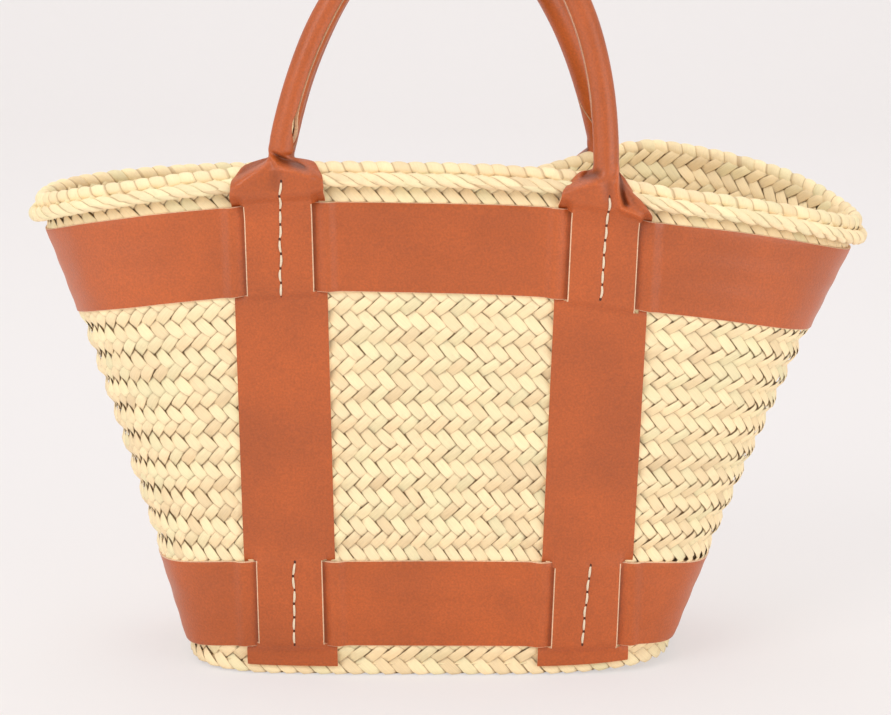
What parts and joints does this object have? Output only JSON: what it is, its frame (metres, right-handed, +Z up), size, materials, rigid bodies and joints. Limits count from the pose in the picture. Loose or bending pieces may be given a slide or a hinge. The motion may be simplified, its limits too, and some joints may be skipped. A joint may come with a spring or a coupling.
{
  "type": "straw tote",
  "caption": "Oval woven straw basket tote with a saddle-shaped open top, leather belts laced through slotted straps, and rolled leather handles that fold down.",
  "frame": {"origin": "middle of the overall box on the plane the bag stands on", "axes": "+X along the bag to the right seen from the front, -Y to the front, +Z up"},
  "size_m": [0.5487, 0.2107, 0.5015],
  "materials": {
    "straw": "matte woven palm leaf",
    "straw_rim": "matte twisted and wrapped palm leaf",
    "belt_leather": "smooth tan leather, satin",
    "strap_leather": "smooth tan leather, satin",
    "handle_leather": "smooth rolled tan leather, satin",
    "core_cord": "plain fibre cord, hidden"
  },
  "bodies": {
    "basket": {"basket_wall": "straw", "basket_base": "straw", "rim_edge": "straw_rim", "rim_rope": "straw_rim", "belt_upper": "belt_leather", "belt_lower": "belt_leather", "strap_front_left": "strap_leather", "strap_front_right": "strap_leather", "strap_back_left": "strap_leather", "strap_back_right": "strap_leather"},
    "front_handle": {"handle_front": "handle_leather", "handle_front_core": "core_cord"},
    "back_handle": {"handle_back": "handle_leather", "handle_back_core": "core_cord"}
  },
  "joints": [
    {"name": "front_handle_fold", "type": "hinge", "parent": "basket", "child": "front_handle", "pos_m": [-0.0009, -0.1006, 0.3471], "axis": [0.9993, -0.0014, -0.0374], "range_deg": [-17, 140]},
    {"name": "back_handle_fold", "type": "hinge", "parent": "basket", "child": "back_handle", "pos_m": [-0.0025, 0.084, 0.3316], "axis": [-0.9938, -0.1073, -0.028], "range_deg": [-17, 140]}
  ]
}
